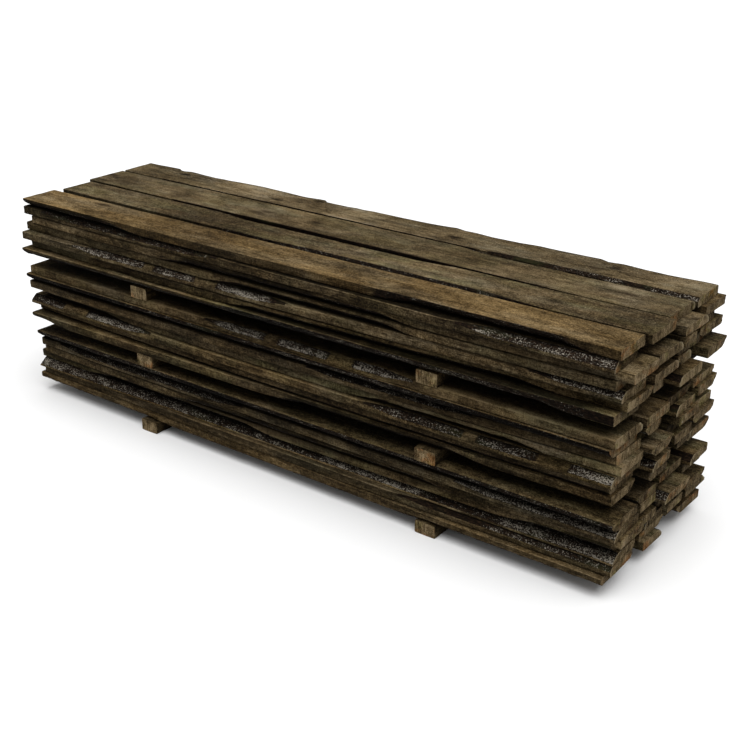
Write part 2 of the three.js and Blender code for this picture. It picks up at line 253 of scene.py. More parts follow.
# Marks on the top boards, in metres and shares: bands right across (from left, half length,
# amount), and spots (from left, from near, half length, half width, amount). Amounts below 0 are
# darker wood.
MARK_FADE = (0.2, 1.2)  # shares of its half size where a mark starts to fade, and is gone
TOP_BANDS = [
    [(0.18, 0.25, 0.18), (0.92, 0.25, -0.07), (1.45, 0.2, 0.02), (1.82, 0.1, -0.05),
     (2.45, 0.32, 0.13), (2.97, 0.1, -0.07)],
    [(0.2, 0.25, 0.05), (0.74, 0.2, -0.11), (1.02, 0.3, -0.2), (2.0, 0.48, 0.14),
     (2.92, 0.2, -0.14)],
    [(0.1, 0.15, -0.06), (0.8, 0.35, 0.06), (1.6, 0.3, -0.06), (2.12, 0.15, -0.08),
     (2.7, 0.3, 0.10)],
    [(0.15, 0.18, -0.13), (0.7, 0.3, 0.18), (1.38, 0.15, 0.16), (1.92, 0.12, -0.08),
     (2.42, 0.3, -0.10), (2.88, 0.16, 0.12)],
]
TOP_SPOTS = [
    [(2.09, 0.10, 0.05, 0.03, -0.25)],
    [(1.50, 0.32, 0.05, 0.025, -0.2), (2.60, 0.30, 0.03, 0.014, -0.5)],
    [(1.31, 0.51, 0.04, 0.025, -0.35), (2.72, 0.56, 0.05, 0.03, 0.2)],
    [(0.29, 0.750, 0.04, 0.02, -0.6), (0.94, 0.685, 0.04, 0.018, -0.55),
     (1.11, 0.775, 0.04, 0.015, -0.5), (1.90, 0.70, 0.045, 0.02, -0.5),
     (2.61, 0.75, 0.04, 0.02, -0.42)],
]

# How far the far edge of the far top board stands out: (centimetres from the left end, mm)
UNEVEN_EDGE = [
    (3, 5), (19, 11), (22, -7), (24, -7), (28, 5), (31, 5), (37, -2), (45, -7), (50, -2), (55, -2),
    (60, 6), (75, 12), (90, 4), (98, -2), (103, -1), (109, 9), (112, 10), (115, -11), (127, -11),
    (131, -3), (135, -7), (140, -2), (153, -4), (171, 0), (181, 13), (183, 17), (188, 5), (193, 7),
    (202, -2), (215, 1), (224, 12), (233, 10), (245, 15), (251, 18), (255, 2), (261, 12), (272, 0),
    (280, -3), (295, 8),
]

# Detail: points on an edge below and above where the bark meets the sawn part, as shares of
# each part's height; points across a face; and the spacing along X, and at the ends
FULL_EDGE = ([0, 0.19, 0.42, 0.70, 1], [0.17, 0.34, 0.52, 0.70, 0.87, 1])
PLAIN_EDGE = ([0, 0.19, 1], [0.33, 0.66, 0.87, 1])
DETAIL = {
    "top": (FULL_EDGE, 20, 0.010, 0.006), "near": (FULL_EDGE, 8, 0.011, 0.007),
    "far": (FULL_EDGE, 8, 0.022, 0.008), "inner": (PLAIN_EDGE, 7, 0.085, 0.012),
}


# ---- noise

def lattice(cell, seed):
    """A number from 0 to 1 for each whole-number cell."""
    x, y, z = (cell[:, i].astype(np.uint32) for i in range(3))
    n = x * np.uint32(374761393) + y * np.uint32(668265263) + z * np.uint32(2246822519)
    n += np.uint32(seed * 3266489917 % 2**32)
    n = (n ^ (n >> np.uint32(13))) * np.uint32(1274126177)
    n ^= n >> np.uint32(16)
    return (n & np.uint32(0xFFFF)) / 0xFFFF


def noise(points, size, seed):
    """Smooth noise from -1 to 1. size is the size of its lumps along X, Y and Z."""
    place = points / np.asarray(size, float)
    cell = np.floor(place).astype(np.int64)
    part = place - cell
    part = part * part * (3 - 2 * part)
    total = np.zeros(len(points))
    for corner in itertools.product((0, 1), repeat=3):
        share = np.prod(np.where(corner, part, 1 - part), axis=1)
        total += share * lattice(cell + np.array(corner), seed)
    return 2 * total - 1


def smooth(value, low, high):
    """0 below low and 1 above high, with a soft step between."""
    share = np.clip((value - low) / (high - low), 0, 1)
    return share * share * (3 - 2 * share)


# ---- reading the frame

def crossings(tree, start, direction):
    """The places where a ray crosses a surface, in order."""
    found = []
    place = Vector(start)
    step = Vector(direction)
    while True:
        hit = tree.ray_cast(place, step)[0]
        if hit is None:
            return found
        found.append(hit)
        place = hit + step * RAY_STEP


def read_layer(node):
    """The four boards of a layer: their ends, and both edges along X.

    An edge's first row is its Y at the lower face, and its second row at the upper face.
    """
    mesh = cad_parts[node].data
    faces = [face.vertices[:] for face in mesh.polygons]
    tree = BVHTree.FromPolygons([vertex.co for vertex in mesh.vertices], faces)
    low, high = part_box(node)
    places = np.linspace(READ_FROM, READ_TO, READ_STEPS)
    edges = np.zeros((2, READ_STEPS, BOARDS_IN_LAYER, 2))
    for level, z in enumerate((low.z + LEVEL_INSET, high.z - LEVEL_INSET)):
        for step, x in enumerate(places):
            hits = [hit.y for hit in crossings(tree, (x, low.y - 1, z), (0, 1, 0))]
            edges[level, step] = np.reshape(hits, (BOARDS_IN_LAYER, 2))
    boards = []
    for column in range(BOARDS_IN_LAYER):
        ends = []
        for x, side, step in ((READ_FROM, -1, 0), (READ_TO, 1, -1)):
            middle = edges[0, step, column].mean()
            start = (x, middle, low.z + END_LEVEL)
            ends.append(tree.ray_cast(Vector(start), Vector((side, 0, 0)))[0].x)
        boards.append({
            "left": ends[0], "right": ends[1], "floor": low.z, "thickness": high.z - low.z,
            "places": places, "near": edges[:, :, column, 0], "far": edges[:, :, column, 1],
        })
    return boards


def cover_of(boards, column):
    """The outline and underside of a layer as it covers one column of the layer below."""
    first, last, own = boards[0], boards[-1], boards[column]
    return {
        "places": first["places"], "near": first["near"].min(0), "far": last["far"].max(0),
        "left": own["left"], "right": own["right"], "height": first["floor"],
    }


# ---- grids

def shares_across(count):
    """Places across a face from 0 to 1, two of them close to each edge."""
    return np.concatenate([[0.03, 0.08], np.linspace(0.13, 0.87, count - 4), [0.92, 0.97]])


def places_along(left, right, spacing, end_spacing):
    """Stations along a board, closer together near its ends."""
    end_steps = round(END_ZONE / end_spacing)
    steps = round((right - left - 2 * END_ZONE) / spacing)
    return np.concatenate([
        np.linspace(left, left + END_ZONE, end_steps, endpoint=False),
        np.linspace(left + END_ZONE, right - END_ZONE, steps, endpoint=False),
        np.linspace(right - END_ZONE, right, end_steps + 1),
    ])


def side_faces(index):
    """Quads along a grid of vertex numbers whose rows are closed sections."""
    after = np.roll(index, -1, 1)
    return np.stack([index[:-1], index[1:], after[1:], after[:-1]], -1).reshape(-1, 4)


def cap(points, bottom, top, left, right, count):
    """A grid of numbers of points inside four border lines, and the new points from count on."""
    grid = np.zeros((len(left), len(bottom)), int)
    grid[0], grid[-1], grid[:, 0], grid[:, -1] = bottom, top, left, right
    inside = grid[1:-1, 1:-1]
    border = points[grid]
    inside[:] = count + np.arange(inside.size).reshape(inside.shape)
    u = np.linspace(0, 1, len(bottom))[None, 1:-1, None]
    v = np.linspace(0, 1, len(left))[1:-1, None, None]
    sides = (1 - u) * border[1:-1, :1] + u * border[1:-1, -1:]
    levels = (1 - v) * border[:1, 1:-1] + v * border[-1:, 1:-1]
    corners = (1 - u) * ((1 - v) * border[0, 0] + v * border[-1, 0])
    corners = corners + u * ((1 - v) * border[0, -1] + v * border[-1, -1])
    return grid, (sides + levels - corners).reshape(-1, 3)


def cap_faces(grid, outward):
    quads = np.stack([grid[:-1, :-1], grid[:-1, 1:], grid[1:, 1:], grid[1:, :-1]], -1)
    quads = quads.reshape(-1, 4)
    return quads if outward else quads[:, ::-1]


# ---- boards

def edge_points(lower, upper, outward, thickness, shares):
    """The points of one edge from the lower face up, a column for each.

    lower and upper are the edge's Y at the two faces along the board, and outward is -1 for the
    near edge and 1 for the far one. One part of an edge leans and has bark, the other is sawn
    upright. "across" is 0 where the two meet and 1 at the faces, and "bark_above" says where the
    upper part is the one with bark.
    """
    lower, upper = lower[:, None], upper[:, None]
    rim = np.maximum(lower * outward, upper * outward) * outward
    under, over = np.abs(lower - rim), np.abs(upper - rim)
    height = np.minimum(np.maximum(under, over) / BARK_LEAN, BARK_HIGHEST * thickness)
    is_over = over > under
    sharp_meeting = np.where(is_over, thickness - height, height)
    blend = smooth(height, 0, MEETING_BLEND)
    meeting = thickness / 2 * (1 - blend) + sharp_meeting * blend
    bark = smooth(height, *BARK_FROM)
    bark_below, bark_above = bark * ~is_over, bark * is_over
    below, above = (np.array(part) for part in shares)
    bulge = BARK_BULGE * outward
    y_below = rim + (lower - rim) * (1 - below) + bulge * bark_below * np.sin(math.pi * below)
    y_above = rim + (upper - rim) * above + bulge * bark_above * np.sin(math.pi * above)
    full = np.ones_like(rim)
    return {
        "y": np.hstack([y_below, y_above]),
        "z": np.hstack([meeting * below, meeting + (thickness - meeting) * above]),
        "bark": np.hstack([bark_below * (below < 1), bark_above * np.ones_like(above)]),
        "across": np.hstack([full * (1 - below), full * above]),
        "bark_above": bark_above[:, 0],
    }


def scaled(rows):
    """Rows in centimetres and percent, turned into metres and shares."""
    return [[number / 100 for number in row] for row in rows]


def stretch(places, start, end):
    """1 inside a stretch and 0 outside it, with soft ends inside."""
    fade_in = smooth(places, start, start + STRETCH_FADE)
    return fade_in * smooth(-places, -end, STRETCH_FADE - end)


def open_rims(xs, edges, height, cover):
    """How open the near and the far upper corner lie along a board, from 0 in a seam to 1."""
    if cover is None or cover["height"] - height > SEAM_REACH:
        return np.ones(len(xs)), np.ones(len(xs))
    near = np.interp(xs, cover["places"], cover["near"]) - edges["near"][1]
    far = edges["far"][1] - np.interp(xs, cover["places"], cover["far"])
    return smooth(near, *OPEN_RIM), smooth(far, *OPEN_RIM)


def lichen_along(places, stretches):
    """Density of the lichen at each place, and how much of the bark is left there."""
    density = np.zeros(len(places))
    bark_left = np.ones(len(places))
    for start, end, amount in scaled(stretches):
        inside = smooth(places, start - LICHEN_FADE, start + LICHEN_FADE)
        inside *= 1 - smooth(places, end - LICHEN_FADE, end + LICHEN_FADE)
        if amount < 0:
            bark_left = np.minimum(bark_left, 1 - inside)
        else:
            density = np.maximum(density, amount * inside)
    return density, bark_left


def sheltered(points, cover):
    """How far each point lies in under the layer above, from 0 in the open to 1 deep inside, for
    painted shade.
    """
    if cover is None:
        return np.zeros(len(points))
    x, y, z = points.T
    depth = np.minimum(
        np.minimum(y - np.interp(x, cover["places"], cover["near"]),
                   np.interp(x, cover["places"], cover["far"]) - y),
        np.minimum(x - cover["left"], cover["right"] - x),
    )
    depth = np.maximum(depth, 0)
    return depth / (depth + np.maximum(cover["height"] - z, 0) + SHELTER_LIP)


def marked(points, column):
    """How much lighter or darker than plain wood each point of a top board is."""
    bands = [(left, 0, length, math.inf, amount) for left, length, amount in TOP_BANDS[column]]
    total = np.zeros(len(points))
    for from_left, from_near, half_length, half_width, amount in bands + TOP_SPOTS[column]:
        away_x = (points[:, 0] - BOARDS_LEFT - from_left) / half_length
        away_y = (points[:, 1] - BOARDS_NEAR - from_near) / half_width
        total += amount * (1 - smooth(np.hypot(away_x, away_y), *MARK_FADE))
    return total


def heart(rng, aside, depth):
    """Where a piece lies from the heart of its log."""
    return rng.uniform(-aside, aside), rng.choice([-1, 1]) * rng.uniform(*depth)


def beside(line, places, outward):
    """How near places on an end are to one of its edges, from 0 to 1 right at the edge."""
    inward = outward * (np.interp(places[:, 2], line[:, 2], line[:, 1]) - places[:, 1])
    return 1 - smooth(inward, *SAP_FADE)


class Board:
    """One board: closed sections along X, and a cap at each end.

    A section runs up the near edge, across the upper face, down the far edge and back across the
    lower face. x, y, z, bark, across and the array of painted shade have a row for each section
    and a column for each of its points. Only the near boards have a near_key, for their lists.
    The functions below take a Board as b.
    """

    def __init__(self, read, tier, layer, column, cover, detail, seed):
        self.read, self.column, self.cover, self.seed = read, column, cover, seed
        self.key = (tier, layer, column)
        self.near_key = (tier, layer) if column == 0 else None
        self.is_top = cover is None
        self.is_far_top = self.is_top and column == BOARDS_IN_LAYER - 1
        self.rng = np.random.default_rng(seed)
        self.thickness = read["thickness"]
        edge_shares, face_points, *spacings = detail
        self.xs = places_along(read["left"], read["right"], *spacings)
        self.from_left = self.xs - BOARDS_LEFT
        self.edges = {
            side: [np.interp(self.xs, read["places"], line) for line in read[side]]
            for side in ("near", "far")
        }
        if self.is_far_top:
            places, out = zip(*UNEVEN_EDGE)
            uneven = MM * np.interp(self.from_left, np.divide(places, 100), out)
            self.edges["far"] = [line + uneven for line in self.edges["far"]]
        self.middle = (self.edges["near"][0] + self.edges["far"][0]) / 2
        self.lay_out(edge_shares, shares_across(face_points))

    def lay_out(self, edge_shares, face_shares):
        """The plain sections, and the columns where their corners are."""
        near = edge_points(*self.edges["near"], -1, self.thickness, edge_shares)
        far = edge_points(*self.edges["far"], 1, self.thickness, edge_shares)
        rows = near["y"].shape[1]
        self.near_upper = rows - 1
        self.far_upper = rows + len(face_shares)
        self.far_lower = self.far_upper + rows - 1
        self.near_part = slice(0, rows)
        self.far_part = slice(self.far_upper, self.far_lower + 1)
        self.bark_above = (near["bark_above"], far["bark_above"])
        lower, upper = (
            near["y"][:, [at]] + (far["y"][:, [at]] - near["y"][:, [at]]) * face_shares
            for at in (0, -1)
        )
        bare = np.zeros_like(upper)

        def around(name, above, below):
            return np.hstack([near[name], above, far[name][:, ::-1], below[:, ::-1]])

        self.y = around("y", upper, lower)
        self.z = around("z", bare + self.thickness, bare)
        self.bark = around("bark", bare, bare)
        self.across = around("across", bare, bare)
        self.x = np.repeat(self.xs[:, None], self.y.shape[1], 1)
        # Painted shade at each point, from 0 to 1: in closed seams, on upright bark and on listed
        # stretches
        self.dirt_and_painted_shade = np.zeros_like(self.x)

    def noise(self, kind, points, step=0):
        """One of the board's kinds of noise, from -1 to 1."""
        seed_step, size = NOISES[kind]
        return noise(points, size, self.seed + seed_step + step)

    def along(self, y, z):
        """A line of points at the board's stations."""
        return np.stack(np.broadcast_arrays(self.xs, y, z), 1)

    def paint_shade(self, at, amount):
        """Paints shade: makes columns of the sections at least so dark."""
        self.dirt_and_painted_shade[:, at] = np.maximum(self.dirt_and_painted_shade[:, at], amount)


def darken(b):
    """The upright bark with painted shade on it, and the listed stretches of painted shade."""
    below_rim = slice(0, b.near_upper)
    for start, end in scaled(UPRIGHT_BARK.get(b.key, ())):
        inside = stretch(b.from_left, start, end)[:, None]
        b.bark[:, b.near_part] = np.maximum(b.bark[:, b.near_part], inside)
        b.paint_shade(below_rim, UPRIGHT_SHADE * inside)
    level = smooth(b.z[:, below_rim] / b.thickness, *HALVES_BLEND)
    for start, end, lower, upper, *face in scaled(PAINTED_SHADE_STRETCHES.get(b.near_key, ())):
        inside = stretch(b.from_left, start, end)
        b.paint_shade(below_rim, (lower + (upper - lower) * level) * inside[:, None])
        for at, dark in enumerate(face, b.near_upper + 1):
            b.paint_shade(at, dark * inside)


def roughen(b):
    """A long wave of both edges, then the rough skin and the bark, out from the section."""
    line = b.along(WAVE_APART * b.column, b.read["floor"])
    for step, part, outward in ((1, b.near_part, -1), (2, b.far_part, 1)):
        wave = b.noise("wave", line, step)
        wave += EDGE_RIPPLE * b.noise("ripple", line, step)
        b.y[:, part] += outward * EDGE_WAVE * wave[:, None]
    step_y = np.roll(b.y, -1, 1) - np.roll(b.y, 1, 1)
    step_z = np.roll(b.z, -1, 1) - np.roll(b.z, 1, 1)
    size = np.hypot(step_y, step_z)
    b.out_y, b.out_z = -step_z / size, step_y / size
    flat = np.stack([b.x, b.y, b.z + SKIN_APART * b.column], -1).reshape(-1, 3)
    skin = SKIN_WAVE * b.noise("skin", flat) + SKIN_SWELL * b.noise("swell", flat)
    rough = BARK_RIDGE * (1 - np.abs(b.noise("ridge", flat)) - RIDGE_LEVEL)
    rough += BARK_LUMP * b.noise("lump", flat)
    rough += BARK_BULK * b.noise("bulk", flat)
    bark = b.bark.ravel()
    move = np.where(bark > 0, bark * rough, skin).reshape(b.x.shape)
    b.y += b.out_y * move
    b.z += b.out_z * move


def cut_corners(b):
    """Corners cut back and chipped, painted shade in closed seams, the board thinned by its seams.
    """
    height = b.read["floor"] + b.thickness
    b.open_near, open_far = open_rims(b.xs, b.edges, height, b.cover)
    upper, wear = (TOP_CORNER, TOP_WEAR) if b.is_top else (UPPER_CORNER, 1)
    # Painted shade in the seams: always below, above only where the layer above closes the seam
    lower_corner = (LOWER_CORNER, wear, SEAM_SHADE)
    near_corner = (upper, wear, SEAM_SHADE * (1 - b.open_near))
    far_corner = (upper, wear, SEAM_SHADE * (1 - open_far))
    if b.is_far_top:
        far_corner = FAR_RIM
    for at, next_at, (back, worn, paint_shade) in (
        (0, 1, lower_corner),
        (b.near_upper, b.near_upper - 1, near_corner),
        (b.far_upper, b.far_upper + 1, far_corner),
        (b.far_lower, b.far_lower - 1, lower_corner),
    ):
        corner = b.along(at, 0.5)  # a line of its own in the noise
        chip = np.clip(b.noise("chip", corner, at) - CHIP_FROM, 0, 1) ** CHIP_POWER
        chip += NICK_SHARE * np.clip(b.noise("nick", corner, at), 0, 1)
        out_y, out_z = b.out_y[:, at], b.out_z[:, at]
        to_y = b.y[:, next_at] - b.y[:, at]
        to_z = b.z[:, next_at] - b.z[:, at]
        toward = np.maximum(-out_y * to_y - out_z * to_z, NEVER_ZERO)
        room = CORNER_ROOM * (to_y**2 + to_z**2) / toward
        cut = np.minimum(back + CORNER_CHIP * chip * worn, room)
        b.y[:, at] -= out_y * cut
        b.z[:, at] -= out_z * cut
        b.paint_shade(at, paint_shade)
        b.paint_shade(next_at, SEAM_SHARE * paint_shade)
    if b.is_far_top:
        b.dirt_and_painted_shade[:, b.far_upper - 1] = FAR_RIM_FADE
    b.z = SEAM + b.z * (b.thickness - 2 * SEAM) / b.thickness
    b.z = np.clip(b.z, SEAM_KEPT, b.thickness - SEAM_KEPT)


def turn_ends(b):
    """Ends out of square, leaning a little and worn back at the rim."""
    for end, sign in ENDS:
        skew = b.rng.uniform(-END_SKEW, END_SKEW)
        lean = b.rng.uniform(-END_LEAN, END_LEAN)
        fade = (1 - smooth(np.abs(b.xs - b.xs[end]), 0, END_ZONE))[:, None]
        aside = b.y - b.middle[:, None]
        b.x += fade * (skew * aside + lean * (b.z - b.thickness / 2))
        rim = np.stack([b.x[end], b.y[end], b.z[end]], 1)
        b.x[end] -= sign * END_FRAY * np.clip(b.noise("fray", rim, sign), 0, 1)


def close(b):
    """Vertices and faces of the board with its ends, and the first values at the vertices."""
    sections = np.stack([b.x, b.y, b.z], -1).reshape(-1, 3)
    b.index = np.arange(b.x.size).reshape(b.x.shape)
    parts, faces, count = [sections], [side_faces(b.index)], b.x.size
    saps = [np.zeros(count)]
    for end, sign in ENDS:
        ring = b.index[end]
        near_line, far_line = ring[b.near_part], ring[b.far_part][::-1]
        top_line = ring[b.near_upper:b.far_upper + 1]
        bottom_line = np.append(ring[b.far_lower:], ring[0])[::-1]
        grid, inner = cap(sections, bottom_line, top_line, near_line, far_line, count)
        on_end = np.concatenate([sections[ring], inner])
        sap = np.zeros(len(on_end))
        for above, line, outward in zip(b.bark_above, (near_line, far_line), (-1, 1)):
            if above[end] > 0.5:  # mostly bark
                sap = np.maximum(sap, beside(sections[line], on_end, outward))
        saps[0][ring] = sap[:len(ring)]
        rough = b.noise("end", inner, sign)
        rough += END_WIDE * b.noise("wide end", inner, sign)
        inner[:, 0] += END_ROUGH * rough
        parts.append(inner)
        saps.append(sap[len(ring):])
        faces.append(cap_faces(grid, sign > 0))
        count += len(inner)
    values = {"sap": np.concatenate(saps)}
    for name in ("bark", "across", "dirt_and_painted_shade"):
        values[name] = np.pad(getattr(b, name).ravel(), (0, count - b.x.size))
    return np.concatenate(parts), np.concatenate(faces), values


def grow_lichen(b, points, values):
    """Lichen on the bark, and bark lost."""
    is_near = points[:, 1] < np.interp(points[:, 0], b.xs, b.middle)
    density = COMMON_LICHEN * np.clip(b.noise("lichen", points), 0, 1)
    if b.is_top or b.near_key:
        stretches = TOP_LICHEN[b.column] if b.is_top else LICHEN.get(b.near_key, ())
        listed, bark_left = lichen_along(points[:, 0] - BOARDS_LEFT, stretches)
        density = np.where(is_near, listed, density)
        values["bark"] *= np.where(is_near, bark_left, 1)
    across = LICHEN_AT_RIM - LICHEN_LOSS * values["across"]
    values["lichen"] = density * values["bark"] * across


def place_grain(b, points):
    """Where the wood's own pattern is read, with the heart of the log along X."""
    heart_y, heart_z = heart(b.rng, *HEARTS)
    return np.stack([
        points[:, 0] + b.rng.uniform(0, PATTERN_LENGTH),
        points[:, 1] - np.interp(points[:, 0], b.xs, b.middle) + heart_y,
        points[:, 2] - b.read["floor"] - b.thickness / 2 + heart_z,
    ], 1)


def tones(b, points):
    """The tone at the vertices, with painted light on listed stretches and a painted highlight on
    the open near rim.
    """
    tone = b.rng.uniform(*TONES)
    if b.is_top:
        tone = TOP_TONES[b.column]
    made = np.tile(tone, (len(points), 1))
    rim = np.interp(points[:, 0], b.xs, np.minimum(*b.edges["near"]))
    near = 1 - smooth(points[:, 1] - rim, *PAINTED_LIGHT_DEPTH)
    for start, end, amount in scaled(PAINTED_LIGHT_STRETCHES.get(b.near_key, ())):
        made[:, 0] += amount * (stretch(points[:, 0] - BOARDS_LEFT, start, end) * near)
    if not b.is_top:
        # Painted highlight on the open near rim, and next to it
        made[b.index[:, b.near_upper], 0] += RIM_HIGHLIGHT * b.open_near
        made[b.index[:, b.near_upper + 1], 0] += RIM_FADE * b.open_near
    return made


def board_arrays(b):
    """Vertices, faces and named values at the vertices."""
    darken(b)
    roughen(b)
    cut_corners(b)
    turn_ends(b)
    points, faces, values = close(b)
    grow_lichen(b, points, values)
    points[:, 2] += b.read["floor"]
    # Painted shade: deeper in under the layer above, and in the seams and listed stretches
    values["painted_shade"] = np.maximum(sheltered(points, b.cover), values["dirt_and_painted_shade"])
    values["mark"] = marked(points, b.column) if b.is_top else np.zeros(len(points))
    values["grain"] = place_grain(b, points)
    values["tone"] = tones(b, points)
    return points, faces, values


# ---- bearers

def bearer_arrays(node, seed):
    """A rough-sawn timber along Y in the place of a bearer."""
    rng = np.random.default_rng(seed)
    low, high = (np.array(corner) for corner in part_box(node))
    side = np.linspace(-1, 1, BEARER_SIDE_POINTS)
    one = np.ones_like(side)
    square = np.concatenate([
        np.stack(line, 1)[:-1]
        for line in ((side, -one), (one, side), (-side, one), (-one, -side))
    ])
    outward = square * (np.abs(square) == 1)
    at_corner = (np.abs(square) == 1).all(1)
    half = (high - low)[[0, 2]] / 2
    centre = (high + low)[[0, 2]] / 2
    section = square * (half - BEARER_INSET) - outward * at_corner[:, None] * BEARER_CORNER
    ys = np.linspace(low[1], high[1], BEARER_STEPS)
    x = np.tile(centre[0] + section[:, 0], (BEARER_STEPS, 1))
    z = np.tile(centre[1] + section[:, 1], (BEARER_STEPS, 1))
    y = np.repeat(ys[:, None], len(square), 1)
    flat = np.stack([x, y, z], -1).reshape(-1, 3)
    dent = (0.5 + 0.5 * noise(flat, DENT_SIZE, seed)).reshape(x.shape)
    chip = np.clip(noise(flat, CHIP_SIZE, seed + 1) - BEARER_CHIP_FROM, 0, 1).reshape(x.shape)
    x -= outward[:, 0] * (BEARER_SKIN * dent + BEARER_CHIP * chip * at_corner)
    z -= outward[:, 1] * (SKIN_UPRIGHT * BEARER_SKIN * dent + BEARER_CHIP * chip * at_corner)
    for end, sign in ENDS:
        skew = rng.uniform(-BEARER_SKEW, BEARER_SKEW)
        aside, up = x[end] - centre[0], z[end] - centre[1]
        y[end] -= sign * np.abs(skew * aside + BEARER_LEAN * up)
    parts = [np.stack([x, y, z], -1).reshape(-1, 3)]
    index = np.arange(x.size).reshape(x.shape)
    faces = [side_faces(index)]
    count = x.size
    span = BEARER_SIDE_POINTS
    for end, sign in ENDS:
        ring = index[end]
        bottom, right = ring[:span], ring[span - 1:2 * span - 1]
        top = ring[2 * span - 2:3 * span - 2][::-1]
        left = np.append(ring[3 * span - 3:], ring[0])[::-1]
        grid, inner = cap(parts[0], bottom, top, left, right, count)
        inner[:, 1] += END_ROUGH * noise(inner, CUT_SIZE, seed + 5 + sign)
        parts.append(inner)
        faces.append(cap_faces(grid, sign < 0))
        count += len(inner)
    points = np.concatenate(parts)
    shift = rng.uniform(0, PATTERN_LENGTH)
    heart_x, heart_z = heart(rng, *BEARER_HEARTS)
    moved = (shift, heart_x - centre[0], heart_z - centre[1])
    values = {name: np.zeros(len(points)) for name in ("bark", "sap", "lichen", "mark")}
    values["grain"] = points[:, [1, 0, 2]] + moved
    # Painted shade, deeper in under the layers
    values["painted_shade"] = BEARER_SHADE * smooth(np.abs(points[:, 1]), *BEARER_SHADED)
    values["tone"] = np.tile(rng.uniform(*BEARER_TONES), (len(points), 1))
    return points, np.concatenate(faces), values


# ---- meshes

def linked(name, data):
    """A new object in the scene."""
    made = bpy.data.objects.new(name, data)
    bpy.context.scene.collection.objects.link(made)
    return made


def piece_from(name, parts, slot, *nodes):
    """One piece from the arrays of its boards, which stands for these nodes."""
    counts = np.cumsum([0] + [len(points) for points, _, _ in parts])
    points = np.concatenate([points for points, _, _ in parts])
    faces = np.concatenate([faces + start for (_, faces, _), start in zip(parts, counts)])
    mesh = bpy.data.meshes.new(name)
    mesh.vertices.add(len(points))
    mesh.vertices.foreach_set("co", points.astype(np.float32).ravel())
    mesh.loops.add(faces.size)
    mesh.loops.foreach_set("vertex_index", faces.astype(np.int32).ravel())
    mesh.polygons.add(len(faces))
    mesh.polygons.foreach_set("loop_start", np.arange(0, faces.size, 4, dtype=np.int32))
    mesh.update(calc_edges=True)
    mesh.validate()
    for kind, field, keys in (
        ("FLOAT", "value", ("bark", "lichen", "sap", "painted_shade", "mark")),
        ("FLOAT_VECTOR", "vector", ("grain", "tone")),
    ):
        for key in keys:
            values = np.concatenate([values[key] for _, _, values in parts])
            layer = mesh.attributes.new(key, kind, "POINT")
            layer.data.foreach_set(field, values.astype(np.float32).ravel())
    mesh.polygons.foreach_set("use_smooth", np.ones(len(faces), bool))
    mesh.set_sharp_from_angle(angle=SMOOTH_BELOW)
    mesh.materials.append(MATERIALS[slot])
    piece = linked(name, mesh)
    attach(piece, "root")
    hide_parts(*nodes)
    return piece


# ---- materials

# Colours, linear
WOODS = ((0.012, 0.008, 0.004), (0.034, 0.023, 0.011), (0.078, 0.055, 0.027),
         (0.145, 0.105, 0.056), (0.25, 0.19, 0.11))  # from black to pale
GOLD = (1.12, 0.98, 0.73)
OLIVE = (0.78, 1.0, 0.80)
GREY = (0.90, 1.02, 1.25)
RUST = (1.30, 0.84, 0.55)
MOSSY = (0.85, 1.06, 0.45)
KNOT = (0.020, 0.012, 0.006)
SAPWOOD = (0.36, 0.30, 0.19)
BARK_DARK = (0.0050, 0.0036, 0.0026)
BARK_BROWN = (0.031, 0.018, 0.010)
LICHEN_PALE = (0.235, 0.21, 0.17)
LICHEN_GREY = (0.072, 0.062, 0.047)
MOSS = (0.030, 0.036, 0.012)

# Noise in the wood, in lumps to a metre: (scale along X, Y and Z, detail, roughness)
BEND = ((2.4, 9, 9), 3, 0.5)
FIBRE = ((60, 420, 420), 3, 0.6)
STREAKS = ((3.2, 62, 62), 4, 0.62)
MOTTLE = ((34, 56, 56), 6, 0.74)
BLOTCHES = ((6.0, 14, 14), 5, 0.62)
SPECKS = ((170, 200, 200), 3, 0.7)
CHECKS = ((4.5, 110, 110), 2, 0.5)
CHECKED_PLACES = ((3, 14, 14), 3, 0.6)
DIRT = ((2.6, 9, 10), 5, 0.68)
SAW_MARKS = ((105, 22, 16), 3, 0.70)
EDGE_STAINS = ((5, 16, 26), 4, 0.65)
END_FUZZ = ((40, 260, 190), 5, 0.78)
END_STROKES = ((20, 170, 20), 3, 0.6)
END_STAINS = ((4, 28, 28), 4, 0.65)
FINE_BARK = ((70, 170, 170), 4, 0.7)
MOSS_PLACES = ((5, 12, 12), 3, 0.6)
CRUST = ((170, 190, 190), 2, 0.7)
CRUST_PLACES = ((20, 50, 50), 3, 0.6)
TINT_DETAIL, TINT_ROUGH = 4, 0.62

RING_SPACING = 0.0068  # metres from one ring of the wood to the next
BEND_DEPTH = (0, 0.05, 0.05)  # how far the rings and the grain are bent
STROKE_TURN = math.radians(7)
KNOT_SCALE = (2.3, 7.5, 7.5)  # knots to a metre
END_NORMAL = (0.6, 0.85)  # how far a face turns along the piece to be part of an end,
EDGE_NORMAL = (0.55, 0.85)  # or across it, to be part of an edge
BUMP_DISTANCE, BUMP_STRENGTH = 0.0014, 0.85
SPECULAR = 0.03
DIRT_SHADE = (0.50, 0.46, 0.42)

# Scales through stops of (place, value)
FACE_SCALE = tuple(zip((0.0, 0.22, 0.46, 0.70, 1.0), WOODS))
END_SCALE = tuple(zip((0.0, 0.2, 0.42, 0.66, 0.95), WOODS))
SAW_SCALE = ((0.32, 0.72), (0.66, 1.22))
STAIN_SCALE = ((0.40, 0.62), (0.60, 1.12))
# Painted shade: how much the base colour is darkened for each shade value
PAINTED_SHADE_SCALE = ((0.0, 1.0), (0.35, 0.62), (0.8, 0.16))
ROUGHNESS_SCALE = ((0.2, 0.86), (0.8, 0.98))
MIX_SOCKETS, MIX_RESULT = (0, 6, 7), 2  # a colour mix's share and colours, and result


